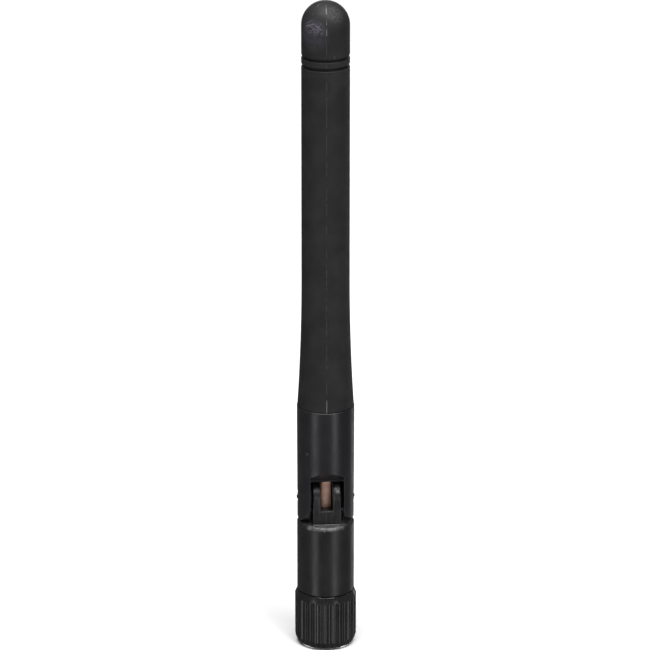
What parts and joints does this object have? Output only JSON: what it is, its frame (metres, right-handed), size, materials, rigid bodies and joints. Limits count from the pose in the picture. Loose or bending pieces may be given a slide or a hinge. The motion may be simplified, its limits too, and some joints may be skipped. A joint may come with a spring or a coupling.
{
  "type": "omnidirectional antenna",
  "caption": "Black whip antenna with a domed radome on a folding fork, a swivel barrel, and a ribbed coupling nut with a coaxial connector.",
  "frame": {"origin": "centre of the coupling nut's mouth, at the bottom of the part", "axes": "+Z along the antenna to its tip; the hinge opens towards -Y, so the antenna folds forwards about an axis along +X"},
  "size_m": [0.01, 0.01, 0.108],
  "materials": {
    "radome_black": "fine matte",
    "hinge_black": "satin",
    "grip_black": "satin",
    "nut_brass": "machined",
    "spring_steel": "bright",
    "gasket_silicone": "soft",
    "body_brass": "machined",
    "ptfe_white": "waxy",
    "contact_gold": "plated",
    "ferrule_brass": "plated",
    "jacket_brown": "smooth",
    "braid_silver": "woven wire",
    "dielectric_white": "translucent",
    "wire_silver": "stranded",
    "sleeve_brass": "drawn tube",
    "solder": "dull",
    "shrink_black": "smooth",
    "spacer_white": "waxy",
    "foam_grey": "open cell"
  },
  "bodies": {
    "connector": {"connector_body": "body_brass", "ptfe_insulator": "ptfe_white", "centre_contact": "contact_gold", "nut_snap_ring": "spring_steel", "sealing_gasket": "gasket_silicone", "crimp_ferrule": "ferrule_brass", "coax_jacket_lower": "jacket_brown", "coax_braid_lower": "braid_silver", "coax_dielectric_lower": "dielectric_white", "coax_conductor_lower": "wire_silver"},
    "coupling": {"coupling_nut": "nut_brass", "grip_sleeve": "grip_black"},
    "barrel": {"hinge_barrel": "hinge_black", "coax_hinge_span": "jacket_brown"},
    "whip": {"hinge_yoke": "hinge_black", "radome": "radome_black", "coax_jacket_upper": "jacket_brown", "coax_braid_upper": "braid_silver", "coax_dielectric_upper": "dielectric_white", "coax_conductor_upper": "wire_silver", "dipole_sleeve": "sleeve_brass", "feed_solder_joint": "solder", "feed_heat_shrink": "shrink_black", "sleeve_spacer": "spacer_white", "tip_foam": "foam_grey"}
  },
  "joints": [
    {"name": "grip_spin", "type": "hinge", "parent": "connector", "child": "coupling", "pos_m": [0, 0, 0.004], "axis": [0, 0, 1], "continuous": true},
    {"name": "swivel", "type": "hinge", "parent": "connector", "child": "barrel", "pos_m": [0, 0, 0.0103], "axis": [0, 0, 1], "range_deg": [-180, 180]},
    {"name": "fold", "type": "hinge", "parent": "barrel", "child": "whip", "pos_m": [0, 0, 0.0254], "axis": [1, 0, 0], "range_deg": [0, 90], "deforming": ["coax_hinge_span"]}
  ]
}
